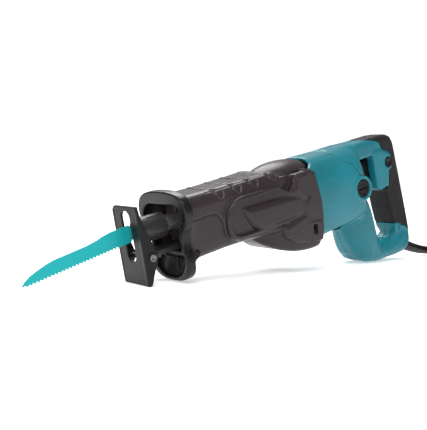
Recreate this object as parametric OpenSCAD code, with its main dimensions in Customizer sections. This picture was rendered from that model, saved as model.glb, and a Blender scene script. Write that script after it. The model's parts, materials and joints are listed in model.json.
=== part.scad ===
// Corded reciprocating saw with a D-handle and a two-lobed front guard.
//
// The saw stands on the lower edge of its shoe and the front of its handle, nose down.
// Each part is written in the saw's own frame: +X runs back along the stroke axis from
// the shoe's front face, +Y to the saw's right, and +Z up from the stroke axis. stand()
// then leans the saw and sets it on the bench. The cord's parts are placed on the bench
// directly. Sizes are millimetres.

/* [Stance] */
// Angle between the stroke axis and the bench
lean = 12; // [11.5:0.1:12.5]
// Circle smoothness
$fn = 48; // [24:8:96]

/* [Blade] */
// Blade length in front of the shoe
blade_reach = 130; // [100:5:150]
// Blade thickness
blade_t = 1.3; // [0.9:0.1:1.4]
// Distance from one tooth to the next
tooth_pitch = 4.2; // [3:0.1:6]
// Depth of a tooth
tooth_depth = 2; // [1:0.1:2.5]

/* [Shoe] */
// Half of the shoe's width
shoe_hw = 24.3; // [24:0.1:26]
// Height of the shoe's top edge
shoe_top = 31; // [29:0.5:33]
// Thickness of the shoe's steel
shoe_t = 3; // [2:0.1:3]
// Half of the slot's width
slot_hw = 8; // [6:0.5:9]

/* [Drive] */
// Blade stroke
stroke = 28; // [24:1:28]
// Radius of the slider rod
slider_r = 9; // [8.5:0.1:9]
// Distance back to the crank's axis
crank_x = 234; // [233:0.5:234]
// Height of the motor's axis
motor_z = -22; // [-23:0.5:-22]
// Teeth on the crank gear
gear_teeth = 37; // [31:1:41]
// Teeth on the motor pinion
pinion_teeth = 9; // [9:1:11]

/* [Housings] */
// Half-width of the motor housing
motor_hw = 44; // [43:0.5:45]
// Wall of the motor housing
motor_wall = 3.5; // [3:0.1:3.5]
// Half-width of the boot's rear collar
collar_hw = 47; // [46:0.5:48]
// Half-width of the handle
handle_hw = 19; // [18.5:0.5:21]
// Wall of the handle shells
shell_wall = 3; // [2.5:0.1:3]

/* [Cord] */
// Cord diameter
cord_d = 8; // [7:0.5:8]
// Turns side by side in the coil
coil_columns = 2; // [1:1:2]
// Turns on top of each other in the coil
coil_layers = 4; // [2:1:4]

/* [Hidden] */

// Where the saw's frame stands on the bench
stand_x = -173.9;
stand_z = 55.7;

// Running clearance of a shaft in its bearing
run = 0.05;
// Gap between the boot and the casting inside it
fit = 0.1;
// Gap between curved faces that must not touch
gap = 0.3;
// Overshoot of a cut past the face that it opens
cut = 1;

// Stroke axis train
nose_x = 14;
nose_r = 6.5;
rod_x0 = 34;
blade_pin_x = 24;
tooth_x0 = -13.5;
sleeve_x0 = 12;
sleeve_x1 = 44;
sleeve_r = 14.5;
bush_r = 12.5;
throw = stroke / 2;
yoke_half = 12;
yoke_h = 8;
roller_r = 7;

// Gear housing
boot_x0 = 46.6;
case_x0 = 76.2;
case_r = 41;
case_in_r = 36;
case_z0 = -71;
case_top = 20;
collar_x = 250;
pan_r = 45;
pan_z = -75;

// Bevel gears, whose cones meet where the motor axis crosses the crank axis
gear_r = 29.6;
face_w = 8;
cone = pinion_teeth / gear_teeth;
mesh_gap = 0.3;

// Motor
motor_z0 = -68;
motor_z1 = 32;
motor_x1 = 345;
brush_x = 328;
plate_x = 264;
bolt_y = 35;
bolt_zs = [10, -54];

// Handle
trigger_pivot = [387, 3.5];
lock_at = [410, -4.3];
screw_at = [[362, 20], [432, 14], [429, -75], [330, -95], [400, -118], [445, -112]];

// Shoe
shoe_pivot = [10.6, -27.3];
shank_hw = 12;
shank_z0 = -30;
shank_z1 = -25;
lock_x = 62;
lock_z = -37;

// Cord: the guard, the lead to the coil and the tail to the plug, on the bench
guard_route = [
    [280, 0, 21.5], [292, 0, 18.3], [304, 0, 14.9], [316, 0, 11.9],
    [328, 0, 9.5], [340, 0, 7.8], [350, 0, 6.7]
];
guard_radii = [8, 8, 7.6, 7.1, 6.6, 6.1, 5.7];
lead_route = [
    [350, 0, 6.7], [355, 0, 6.1], [360, 0, 5.5], [366, 0, 4.9], [372, 0, 4.4],
    [378, 0, 4.1]
];
coil_at = [390, -51];
coil_mid_r = 47;
tail_route = [
    [396, -0.5, 28], [410, -1.5, 26.5], [423, -5, 23.5], [435.5, -11.5, 18.5],
    [445, -20.5, 14], [451.5, -30, 10.5], [455, -40, 9], [456, -49.5, 9], [456, -59, 9]
];
plug_at = [456, -58, 9];
plug_length = 38;
pin_length = 16;
pin_spacing = 12.7;

// Bench level under a point of the saw's frame
function bench_z(x) = -(stand_z + x * sin(lean)) / cos(lean);

// ---- placing and shape helpers ----

module stand() translate([stand_x, 0, stand_z]) rotate([0, -lean, 0]) children();

module rod_x(x0, x1, r) translate([x0, 0, 0]) rotate([0, 90, 0]) cylinder(h = x1 - x0, r = r);

module rod_y(y0, y1, r) translate([0, y1, 0]) rotate([90, 0, 0]) cylinder(h = y1 - y0, r = r);

module rod_z(z0, z1, r) translate([0, 0, z0]) cylinder(h = z1 - z0, r = r);

module ring_x(x0, x1, outer, inner) {
    difference() {
        rod_x(x0, x1, outer);
        rod_x(x0 - cut, x1 + cut, inner);
    }
}

module ring_z(z0, z1, outer, inner) {
    difference() {
        rod_z(z0, z1, outer);
        rod_z(z0 - cut, z1 + cut, inner);
    }
}

// Rectangle about the Z axis of a cross-section, with round corners
module rounded(hw, z0, z1, r) {
    translate([-hw + r, z0]) square([2 * (hw - r), z1 - z0]);
    translate([-hw, z0 + r]) square([2 * hw, z1 - z0 - 2 * r]);
    for (sy = [-1, 1], z = [z0 + r, z1 - r]) translate([sy * (hw - r), z]) circle(r);
}

// A cross-section drawn in Y and Z, run from x0 to x1
module along_x(x0, x1) translate([x0, 0, 0]) rotate([90, 0, 90]) linear_extrude(x1 - x0) children();

// A side profile drawn in X and Z, run from y0 to y1
module along_y(y0, y1) translate([0, y1, 0]) rotate([90, 0, 0]) linear_extrude(y1 - y0) children();

module slab_x(x0, x1, hw, z0, z1, r) along_x(x0, x1) rounded(hw, z0, z1, r);

module box(x0, x1, hw, z0, z1) translate([x0, -hw, z0]) cube([x1 - x0, 2 * hw, z1 - z0]);

module on_motor_axis() translate([0, 0, motor_z]) children();

module on_crank_axis() translate([crank_x, 0, 0]) children();

module both_sides() {
    children();
    mirror([0, 1, 0]) children();
}

// A round tube swept along a route, with a radius at each point
module sweep(route, radii, sides = 10) {
    n = len(route);
    function unit(v) = v / norm(v);
    function heading(i) = unit(route[min(i + 1, n - 1)] - route[max(i - 1, 0)]);
    function side_of(t) = unit(cross(t, [0, 0, 1]));
    rings = [
        for (i = [0 : n - 1])
            let (t = heading(i), a = side_of(t), b = cross(a, t))
            for (k = [0 : sides - 1])
                route[i] + radii[i] * (cos(360 * k / sides) * a + sin(360 * k / sides) * b)
    ];
    walls = [
        for (i = [0 : n - 2], k = [0 : sides - 1])
            let (k2 = (k + 1) % sides)
            [i * sides + k, (i + 1) * sides + k, (i + 1) * sides + k2, i * sides + k2]
    ];
    first = [for (k = [0 : sides - 1]) k];
    last = [for (k = [sides - 1 : -1 : 0]) (n - 1) * sides + k];
    polyhedron(points = rings, faces = concat(walls, [first, last]));
}

// ---- front end: shoe, blade and clamp ----

module shoe_profile() {
    polygon([
        [0, shoe_top - 4], [1.5, shoe_top - 2], [9, 0], [17.4, -21], [17.4, -33],
        [10, -42], [6.7, -53], [shoe_t, bench_z(shoe_t)], [0, bench_z(0)]
    ]);
}

module shoe() color("#262425") stand() {
    difference() {
        union() {
            along_y(-shoe_hw, shoe_hw) polygon([
                [0, shoe_top], [shoe_t, shoe_top], [shoe_t, bench_z(shoe_t)], [0, bench_z(0)]
            ]);
            both_sides() along_y(shoe_hw - shoe_t, shoe_hw) shoe_profile();
        }
        along_x(-cut, shoe_t + cut) rounded(slot_hw, -31, 25.5, slot_hw - 0.5);
        translate([shoe_pivot[0], 0, shoe_pivot[1]]) rod_y(-shoe_hw - cut, shoe_hw + cut, 3 + run);
    }
}

module shoe_pin() color("#8e8e90") stand() translate([shoe_pivot[0], 0, shoe_pivot[1]]) {
    rod_y(-shoe_hw - 0.3, shoe_hw + 0.3, 3);
    both_sides() rod_y(shoe_hw + 0.3, shoe_hw + 2.3, 4.1);
}

module shoe_holder() color("#3a3a3c") stand() {
    ear_in = 17.5;
    ear_out = 21;
    difference() {
        union() {
            box(14, 148, shank_hw, shank_z0, shank_z1);
            box(18, 24, ear_out, shank_z0, shank_z1);
            both_sides() {
                translate([shoe_pivot[0], 0, shoe_pivot[1]]) rod_y(ear_in, ear_out, 6.5);
                translate([shoe_pivot[0], ear_in, shank_z0])
                    cube([24 - shoe_pivot[0], ear_out - ear_in, shank_z1 - shank_z0]);
            }
        }
        translate([shoe_pivot[0], 0, shoe_pivot[1]]) rod_y(-ear_out - cut, ear_out + cut, 3);
    }
}

module shoe_lock_button() color("#2a2627") stand() {
    translate([lock_x, 0, lock_z]) rod_y(-33.2, 33.2, 5);
}

// Height of the line through the tooth points
function tooth_line(x) = -11.2 + (x - tooth_x0) * 0.097;

module blade() color("#00a5ab") stand() {
    back = [
        [2, 9.4], [-20, 7.7], [-31.5, 5.6], [-38.3, 3.3], [-52, 0.7], [-71, -1.3],
        [-90, -3.2], [-99.5, -5.3], [-109.5, -8.5], [-119, -12.1]
    ];
    tip = [[-blade_reach + 3.7, -16.7], [-blade_reach, -20.6]];
    count = floor((blade_reach - 6 + tooth_x0) / tooth_pitch);
    teeth = [
        for (i = [count : -1 : 0])
            let (x = tooth_x0 - i * tooth_pitch)
            for (p = [[x - tooth_pitch * 0.75, tooth_depth], [x - tooth_pitch * 0.2, 0], [x, 0.1]])
                [p[0], tooth_line(p[0]) + p[1]]
    ];
    tang = [[2, -9.4], [6, -5.5], [32, -5.5], [32, 5.5], [6, 5.5]];
    along_y(-blade_t / 2, blade_t / 2) difference() {
        polygon(concat(back, tip, teeth, tang));
        translate([blade_pin_x, 0]) circle(1.6);
    }
}

module slider() color("#a8a9ad") stand() {
    yoke_x = crank_x - throw;
    difference() {
        union() {
            rod_x(nose_x, rod_x0, nose_r);
            rod_x(rod_x0, yoke_x - yoke_half + 2, slider_r);
            translate([yoke_x, 0, -yoke_h]) {
                translate([-yoke_half, -throw, 0]) cube([2 * yoke_half, 2 * throw, 2 * yoke_h]);
                for (sy = [-1, 1]) translate([0, sy * throw, 0]) cylinder(h = 2 * yoke_h, r = yoke_half);
            }
        }
        box(nose_x - cut, rod_x0 - 1.5, blade_t / 2 + 0.1, -nose_r - cut, nose_r + cut);
        translate([blade_pin_x, 0, 0]) rod_y(-nose_r - cut, nose_r + cut, 1.55);
        translate([yoke_x, 0, -yoke_h - cut]) {
            translate([-roller_r - run, -throw, 0])
                cube([2 * (roller_r + run), 2 * throw, 2 * (yoke_h + cut)]);
            for (sy = [-1, 1]) translate([0, sy * throw, 0])
                cylinder(h = 2 * (yoke_h + cut), r = roller_r + run);
        }
    }
}

module clamp_pin() color("#c0c0c2") stand() translate([blade_pin_x, 0, 0]) rod_y(-6, 6, 1.5);

module clamp_spring() color("#6c6e72") stand() {
    for (x = [28, 30, 32]) translate([x, 0, 0]) rotate([0, 90, 0])
        rotate_extrude() translate([8.6, 0]) circle(0.7, $fn = 16);
}

module clamp_sleeve() color("#2f2e30") stand() {
    flute_r = 1.6;
    difference() {
        rod_x(sleeve_x0, sleeve_x1, sleeve_r);
        rod_x(sleeve_x0 - cut, 26, 7.6);
        rod_x(25, rod_x0, 10.5);
        rod_x(rod_x0 - cut, sleeve_x1 + cut, slider_r + run);
        for (a = [0 : 30 : 330]) rotate([a, 0, 0]) translate([0, sleeve_r + 0.6, 0])
            rod_x(22, sleeve_x1 - 3, flute_r);
    }
}

module slider_seal() color("#1d1b1b") stand() ring_x(case_x0, 80, bush_r, slider_r + gap);

module slider_front_bush() color("#b08d57") stand() ring_x(80, 104, bush_r, slider_r + run);

module slider_rear_bush() color("#b08d57") stand() ring_x(158, 180, bush_r, slider_r + run);

// ---- gear housing ----

module gear_housing() color("#b6b8ba") stand() {
    boss_r = 20;
    boss_top = -44;
    difference() {
        union() {
            slab_x(case_x0, 200, 29, -38, 22, 10);
            on_crank_axis() rod_z(case_z0, case_top, case_r);
            slab_x(plate_x, plate_x + 4, 40.3, -64.3, 28.3, 16.4);
            on_motor_axis() rod_x(plate_x, 276, 16);
        }
        // Crank chamber, without the boss that carries the crank's bearings
        difference() {
            on_crank_axis() rod_z(case_z0 + 5, case_top + cut, case_in_r);
            on_crank_axis() rod_z(case_z0, boss_top, boss_r);
            on_motor_axis() rod_x(266, 280, 16);
        }
        // Slider bores
        rod_x(case_x0 - cut, 104, bush_r);
        box(104, 152, 22, -17, 17);
        rod_x(158, 180, bush_r);
        rod_x(151, 202, 10);
        // Slot for the shoe holder's shank
        box(case_x0 - cut, 150, shank_hw + gap, shank_z0 - gap, shank_z1 + gap);
        // Crank bearing seats
        on_crank_axis() {
            rod_z(case_z0 - cut, -58, 16);
            rod_z(-59, -43, 10.5);
        }
        // Front bearing seat and pinion shaft hole
        on_motor_axis() {
            rod_x(268, 277, 12);
            rod_x(260, 270, 7);
        }
        for (y = [-bolt_y, bolt_y], z = bolt_zs) translate([0, y, z])
            rod_x(plate_x - cut, plate_x + 5, 2.2);
        // Seat of the cover
        on_crank_axis() rod_z(case_top, case_top + 10, case_r + 0.1);
        on_crank_axis() for (a = [45 : 90 : 315]) rotate([0, 0, a]) translate([38.5, 0, 0])
            rod_z(10, case_top + cut, 1.55);
    }
}

module gear_cover() color("#a9abad") stand() on_crank_axis() difference() {
    rod_z(case_top, case_top + 4, case_r);
    for (a = [45 : 90 : 315]) rotate([0, 0, a]) translate([38.5, 0, 0])
        rod_z(case_top - cut, case_top + 5, 1.6);
}

module gear_cover_screws() color("#77787b") stand() on_crank_axis() {
    for (a = [45 : 90 : 315]) rotate([0, 0, a]) translate([38.5, 0, 0]) {
        rod_z(12, case_top + 4, 1.5);
        rod_z(case_top + 4, case_top + 6, 2.4);
    }
}

module crank_lower_bearing() color("#c9cacc") stand() on_crank_axis() ring_z(-68, -59, 16, 7.5 + run);

module crank_upper_bush() color("#b08d57") stand() on_crank_axis() ring_z(-57, -44, 10.5, 7.5 + run);

module crank_bearing_cap() color("#9a9c9f") stand() on_crank_axis() rod_z(case_z0, -69, 16);

// ---- crank ----

module crank_shaft() color("#8f9194") stand() on_crank_axis() difference() {
    union() {
        rod_z(-67.5, -31, 7.5);
        rod_z(-31, -16, 19.5);
    }
    translate([-throw, 0, 0]) rod_z(-24, -15, 4);
}

module crank_gear() color("#7d7f82") stand() on_crank_axis() {
    heel_z = motor_z - cone * gear_r - mesh_gap;
    toe_r = gear_r - face_w;
    toe_z = motor_z - cone * toe_r - mesh_gap;
    difference() {
        rotate_extrude() polygon([
            [7.5, -42], [26, -42], [gear_r + 0.8, -36], [gear_r, heel_z], [toe_r, toe_z],
            [20.2, -32], [19, -32], [19, -31], [7.5, -31]
        ]);
        for (i = [0 : gear_teeth - 1]) rotate([0, 0, i * 360 / gear_teeth])
            translate([toe_r - 1, -0.6, toe_z - 1.4]) rotate([0, atan(cone), 0]) cube([face_w + 4, 1.2, 4]);
    }
}

module crank_pin() color("#d0d1d3") stand() translate([crank_x - throw, 0, 0]) rod_z(-24, -9.4, 4);

module crank_roller() color("#c2c3c6") stand() translate([crank_x - throw, 0, 0])
    ring_z(-15.8, -9.5, roller_r, 4 + run);

// ---- motor ----

module armature_shaft() color("#b9bbbe") stand() on_motor_axis() {
    rod_x(crank_x + gear_r - face_w, 266, 3.5);
    rod_x(266, 337, 5);
    rod_x(337, 343.5, 4);
}

module drive_pinion() color("#86888b") stand() on_motor_axis() {
    toe_x = crank_x + gear_r - face_w;
    difference() {
        translate([toe_x, 0, 0]) rotate([0, 90, 0]) cylinder(
            h = face_w, r1 = cone * (gear_r - face_w), r2 = cone * gear_r
        );
        rod_x(toe_x - cut, toe_x + face_w + cut, 3.5);
        for (i = [0 : pinion_teeth - 1]) rotate([i * 360 / pinion_teeth, 0, 0])
            translate([toe_x - 1, -0.6, cone * (gear_r - face_w) - 1]) rotate([0, -atan(cone), 0])
                cube([face_w + 3, 1.2, 3]);
    }
}

module front_bearing() color("#c9cacc") stand() on_motor_axis() ring_x(268, 276, 12, 5 + run);

module rear_bearing() color("#c9cacc") stand() on_motor_axis() ring_x(337, 343.8, 9.5, 4 + run);

module armature_core() color("#77797c") stand() on_motor_axis() difference() {
    rod_x(292, 316, 22.5);
    rod_x(291, 317, 5);
    for (a = [0 : 30 : 330]) rotate([a, 0, 0]) translate([0, 18.5, 0]) rod_x(291, 317, 2.6);
}

module armature_winding() color("#b5652b") stand() on_motor_axis() {
    for (a = [0 : 30 : 330]) rotate([a, 0, 0]) translate([0, 18.5, 0]) rod_x(290, 318, 2.5);
    ring_x(287, 291.8, 21.6, 6);
    ring_x(316.2, 319.5, 21.6, 6);
}

module commutator() color("#c07a45") stand() on_motor_axis() difference() {
    ring_x(320, 335, 13, 5);
    for (a = [0 : 15 : 345]) rotate([a, 0, 0]) translate([319, -0.25, 12.3]) cube([17, 0.5, 2]);
}

module cooling_fan() color("#3d3f42") stand() on_motor_axis() {
    blades = 11;
    ring_x(278.5, 285.5, 9, 5);
    ring_x(283.5, 285.5, 33, 8);
    for (i = [0 : blades - 1]) rotate([i * 360 / blades, 0, 0]) translate([278.5, 13, -1])
        cube([6, 19, 2]);
}

module air_baffle() color("#4a4b4d") stand() on_motor_axis() ring_x(277, 286, 39.5, 34.5);

module stator_core() color("#6f7174") stand() on_motor_axis() difference() {
    ring_x(290, 316, 39.5, 23.5);
    for (s = [-1, 1]) translate([289, s * 26 - 7, -24]) cube([29, 14, 48]);
}

module field_coils() color("#b86a30") stand() on_motor_axis() {
    for (s = [-1, 1]) difference() {
        translate([287.5, s * 26 - 6.5, -23]) cube([32, 13, 46]);
        rod_x(287, 320, 25.2);
        translate([289.8, s * 26 - 8, -16]) cube([27.4, 16, 32]);
    }
}

module motor_housing() color("#2f93a1") stand() {
    inner_hw = motor_hw - motor_wall;
    difference() {
        union() {
            difference() {
                slab_x(collar_x, motor_x1, motor_hw, motor_z0, motor_z1, 20);
                slab_x(collar_x - cut, motor_x1 - 4, inner_hw, motor_z0 + motor_wall,
                    motor_z1 - motor_wall, 20 - motor_wall);
            }
            on_motor_axis() rod_x(335.8, motor_x1 - 2, 13);
            both_sides() translate([brush_x, 0, motor_z]) {
                rod_y(17, inner_hw + 0.5, 14);
                rod_y(inner_hw, motor_hw + 2, 16.5);
            }
            for (y = [-bolt_y, bolt_y], z = bolt_zs) translate([0, y, z]) {
                rod_x(plate_x + 4, 296, 4.5);
                translate([plate_x + 4, sign(y) * 4 - 2, -2]) cube([28, 4, 4]);
            }
        }
        // Room for the crank chamber and its cover
        on_crank_axis() rod_z(motor_z0 - cut, case_top + 4.3, case_r + gap);
        // Room for the stator and the coil ends behind it
        on_motor_axis() rod_x(289, 320.2, 39.8);
        // Seat of the rear bearing
        on_motor_axis() rod_x(335, 344, 9.5);
        // Brush holder and cap seats
        both_sides() translate([brush_x, 0, motor_z]) {
            translate([-6.1, 16, -8.1]) cube([12.2, 22, 16.2]);
            rod_y(36, motor_hw + 3, 11.6);
        }
        for (y = [-bolt_y, bolt_y], z = bolt_zs) translate([0, y, z])
            rod_x(plate_x, 292, 2.1);
    }
}

module housing_bolts() color("#77787b") stand() {
    for (y = [-bolt_y, bolt_y], z = bolt_zs) translate([0, y, z]) {
        rod_x(260.6, plate_x, 3.5);
        rod_x(plate_x, 290, 2);
    }
}

module brush_holders() color("#b08d57") stand() both_sides() translate([brush_x, 0, motor_z]) {
    difference() {
        translate([-6, 15, -8]) cube([12, 20.5, 16]);
        translate([-3.6, 14, -5.6]) cube([7.2, 23, 11.2]);
    }
}

module carbon_brushes() color("#2b2b2d") stand() both_sides() translate([brush_x, 0, motor_z])
    translate([-3.5, 13.1, -5.5]) cube([7, 13, 11]);

module brush_springs() color("#a8a9ad") stand() both_sides() translate([brush_x, 0, motor_z]) {
    for (y = [27.5, 29.5, 31.5, 33.5]) translate([0, y, 0]) rotate([90, 0, 0])
        rotate_extrude() translate([2.5, 0]) circle(0.6, $fn = 16);
}

module brush_cap() {
    difference() {
        rod_y(-motor_hw - 1.5, -36.2, 11.5);
        translate([-7, -motor_hw - 2, -1]) cube([14, 1.6, 2]);
    }
}

module brush_cap_left() color("#232122") stand() translate([brush_x, 0, motor_z]) brush_cap();

module brush_cap_right() color("#232122") stand() translate([brush_x, 0, motor_z])
    mirror([0, 1, 0]) brush_cap();

// ---- insulating boot ----

module guard_outline() {
    rounded(46.6, -9, 36.7, 22);
    rounded(36, -66.2, -6.2, 29);
    translate([-31.5, -40]) square([63, 40]);
}

module boot_barrel(x0, x1) slab_x(x0, x1, 34, -46.8, 27.5, 16);

module insulation_boot() color("#3b3639") stand() {
    neck_x = 57;
    side_hw = 42;
    difference() {
        union() {
            along_x(boot_x0, neck_x) guard_outline();
            hull() {
                slab_x(neck_x - 2, neck_x - 1, 42, -6, 33, 18);
                slab_x(88, 89, 33.3, -30, 26.8, 15);
            }
            hull() {
                slab_x(neck_x - 2, neck_x - 1, 32, -63, -16, 22);
                slab_x(82, 83, 29, -45.8, -20, 12);
            }
            boot_barrel(76, 114);
            slab_x(108, 192, side_hw, -51, 28, 16);
            slab_x(188, collar_x, collar_hw, -62, 32.5, 18);
            on_crank_axis() rod_z(pan_z, -50, pan_r);
        }
        // Hollow around the blade clamp
        slab_x(boot_x0 - cut, case_x0 + 0.5, 28, -31.5, 21.4, 14);
        // Room for the gear housing
        slab_x(case_x0, 204, 29 + fit, -38 - fit, 22 + fit, 10);
        slab_x(112, 192, side_hw - 4, -47, 24, 12);
        slab_x(191, collar_x + cut, collar_hw - 4, -58, 28.5, 14);
        on_crank_axis() rod_z(case_z0, case_top + 4.3, case_r + gap);
        // The motor housing's bottom wall stands on the pan's rear half
        translate([collar_x, -pan_r - cut, motor_z0]) cube([60, 2 * (pan_r + cut), 60]);
        translate([lock_x, 0, lock_z]) rod_y(-50, 50, 5 + gap);
        both_sides() translate([226, collar_hw - 6, -54]) cube([7.5, 8, 9]);
    }
}

// ---- handle ----

module handle_outline() {
    polygon([
        [motor_x1 + 0.2, 31.5], [412, 33], [428, 32], [437, 27.5], [441, 20], [443.5, 10],
        [451, -42], [458.5, -107], [457.5, -128], [452, -135], [442, -138.3], [376, -134.9],
        [357, bench_z(357)], [345, bench_z(345)], [334, -125.5], [321, -113], [312, -95],
        [308, motor_z0 - 0.2], [motor_x1 + 0.2, motor_z0 - 0.2]
    ]);
}

module hand_window() {
    polygon([
        [353, 8], [379, 8], [379, -34], [384, -38.5], [400, -39], [404, -46], [407, -70],
        [413, -97], [408, -101], [380, -100], [370, -96], [366, -87], [361, -60], [353, -38]
    ]);
}

module overmould_profile() {
    polygon([
        [376, 32.2], [412, 33], [428, 32], [437, 27.5], [441, 20], [443.5, 10], [451, -42],
        [458.3, -105], [453.3, -105], [446, -42], [438.5, 9], [436, 17], [433, 22.5],
        [427, 26.5], [412, 27.8], [376, 27]
    ]);
}

module shell_profile() difference() {
    handle_outline();
    hand_window();
    overmould_profile();
}

// Left half of the handle: a hollow tray with screw bosses
module handle_half(bore_r) {
    difference() {
        union() {
            difference() {
                along_y(-handle_hw, 0) shell_profile();
                along_y(-handle_hw + shell_wall, cut) offset(delta = -shell_wall) shell_profile();
            }
            for (p = screw_at) translate([p[0], 0, p[1]]) rod_y(-handle_hw + cut, 0, 4.5);
        }
        for (p = screw_at) translate([p[0], 0, p[1]]) rod_y(-14, cut, bore_r);
        box(378, 383, 8.4, -36, 8.6);
    }
}

module handle_left_shell() color("#2f93a1") stand() difference() {
    handle_half(2);
    translate([lock_at[0], 0, lock_at[1]]) rod_y(-handle_hw - cut, -handle_hw + 4, 7 + gap);
}

module handle_right_shell() color("#2f93a1") stand() mirror([0, 1, 0]) difference() {
    handle_half(2.1);
    for (p = screw_at) translate([p[0], 0, p[1]]) {
        rod_y(-handle_hw - cut, -handle_hw + 3, 3.6);
        rod_y(-handle_hw, cut, 2.1);
    }
}

module handle_screws() color("#77787b") stand() {
    for (p = screw_at) translate([p[0], 0, p[1]]) {
        rod_y(handle_hw - 3, handle_hw - 0.4, 3.5);
        rod_y(-13, handle_hw - 3, 1.9);
    }
}

module grip_overmould() color("#2c292a") stand() along_y(-handle_hw, handle_hw) overmould_profile();

module switch_body() color("#1f1f21") stand() box(399, 428, 12, -32, 2);

module trigger_pin() color("#b9bbbe") stand() translate([trigger_pivot[0], 0, trigger_pivot[1]])
    rod_y(-handle_hw + shell_wall, handle_hw - shell_wall, 1.5);

module trigger() color("#231f21") stand() difference() {
    along_y(-8, 8) polygon([
        [381, 7.3], [375, 1], [372, -5], [374.8, -18], [379.4, -31.4], [384, -33.3],
        [391, -31], [391, 6]
    ]);
    translate([trigger_pivot[0], 0, trigger_pivot[1]]) rod_y(-9, 9, 1.5 + run);
}

module lock_button() color("#232122") stand() translate([lock_at[0], 0, lock_at[1]])
    rod_y(-handle_hw - 4, -handle_hw + 3.5, 7);

module cord_clamp() color("#4a4b4d") stand() difference() {
    box(414, 427, 9, -133.6, -122);
    translate([0, 0, -128.5]) rod_x(413, 428, cord_d / 2 + 0.1);
}

// ---- cord ----

module cord_guard() color("#232122") sweep(guard_route, guard_radii, 16);

module power_cord_lead() color("#2a2829") sweep(lead_route, [for (p = lead_route) cord_d / 2]);

module power_cord_tail() color("#2a2829") sweep(tail_route, [for (p = tail_route) cord_d / 2]);

module coil_section(grow) {
    width = coil_columns * cord_d;
    translate([coil_mid_r - width / 2 - grow, 0])
        square([width + 2 * grow, coil_layers * cord_d + grow]);
}

module cord_coil() color("#2a2829") translate([coil_at[0], coil_at[1], 0])
    rotate_extrude() coil_section(0);

module coil_tie() color("#1b1a1a") translate([coil_at[0], coil_at[1], 0]) {
    tie_w = 8;
    intersection() {
        difference() {
            rotate_extrude() coil_section(1);
            translate([0, 0, -cut]) rotate_extrude() translate([0, -cut]) coil_section(0);
            rotate_extrude() coil_section(0);
        }
        translate([20, -tie_w / 2, 0]) cube([60, tie_w, 60]);
    }
}

module plug_body() color("#232122") hull() {
    translate([plug_at[0] - 5, plug_at[1] - 2, plug_at[2] - 5]) cube([10, 2, 10]);
    translate([plug_at[0] - 12, plug_at[1] - 16, 0]) cube([24, 2, 18]);
    translate([plug_at[0] - 12, plug_at[1] - plug_length, 0]) cube([24, 2, 18]);
}

module plug_pins() color("#c9b37a") for (s = [-1, 1])
    translate([plug_at[0] + s * pin_spacing / 2 - 0.75, plug_at[1] - plug_length - pin_length, 5.8])
        cube([1.5, pin_length, 6.4]);

insulation_boot();
gear_housing();
gear_cover();
gear_cover_screws();
slider_front_bush();
slider_rear_bush();
slider_seal();
crank_lower_bearing();
crank_upper_bush();
crank_bearing_cap();
front_bearing();
rear_bearing();
air_baffle();
motor_housing();
housing_bolts();
stator_core();
field_coils();
brush_holders();
carbon_brushes();
brush_springs();
brush_cap_left();
brush_cap_right();
handle_left_shell();
handle_right_shell();
grip_overmould();
handle_screws();
switch_body();
trigger_pin();
cord_clamp();
cord_guard();
power_cord_lead();
cord_coil();
power_cord_tail();
coil_tie();
plug_body();
plug_pins();
slider();
blade();
clamp_pin();
clamp_spring();
clamp_sleeve();
crank_shaft();
crank_gear();
crank_pin();
crank_roller();
armature_shaft();
armature_core();
armature_winding();
commutator();
cooling_fan();
drive_pinion();
shoe_holder();
shoe_pin();
shoe();
shoe_lock_button();
trigger();
lock_button();
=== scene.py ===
import json
import math

import bpy
import numpy as np
from bpy.props import FloatProperty, FloatVectorProperty, PointerProperty
from mathutils import Matrix, Vector


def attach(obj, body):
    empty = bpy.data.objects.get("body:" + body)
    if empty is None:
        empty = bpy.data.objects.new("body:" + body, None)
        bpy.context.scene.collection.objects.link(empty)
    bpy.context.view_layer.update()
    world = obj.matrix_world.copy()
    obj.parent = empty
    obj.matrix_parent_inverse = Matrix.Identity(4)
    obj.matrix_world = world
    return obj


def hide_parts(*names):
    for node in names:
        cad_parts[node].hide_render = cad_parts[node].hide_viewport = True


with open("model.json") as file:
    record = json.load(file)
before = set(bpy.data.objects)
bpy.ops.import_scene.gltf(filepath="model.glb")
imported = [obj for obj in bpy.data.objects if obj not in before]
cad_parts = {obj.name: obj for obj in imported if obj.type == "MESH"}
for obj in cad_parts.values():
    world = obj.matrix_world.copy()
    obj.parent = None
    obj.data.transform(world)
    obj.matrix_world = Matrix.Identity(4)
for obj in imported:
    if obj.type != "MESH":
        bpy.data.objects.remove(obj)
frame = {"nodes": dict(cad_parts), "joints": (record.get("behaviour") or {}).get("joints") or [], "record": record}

bl_info = {
    "name": "Reciprocating saw",
    "version": (1, 0, 0),
    "blender": (4, 5, 0),
    "location": "View3D > Sidebar > Saw",
    "description": "Builds the visible pieces and finishes of a corded reciprocating saw",
    "category": "Object",
}

JOINTS = {j["name"]: j for j in frame["joints"]}
STROKE = Vector(JOINTS["stroke"]["axis"]).normalized()
LEAN = math.atan2(STROKE.z, STROKE.x)
# Saw frame: x back along the stroke from the shoe's face, y to the right, z up, in mm
STAND_HEIGHT = 55.7
STAND = Vector((-0.1739, 0.0, 0.0557))
TOOL = Matrix.Translation(STAND) @ Matrix.Rotation(-LEAN, 4, "Y") @ Matrix.Scale(0.001, 4)
MM = Matrix.Scale(0.001, 4)

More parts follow.
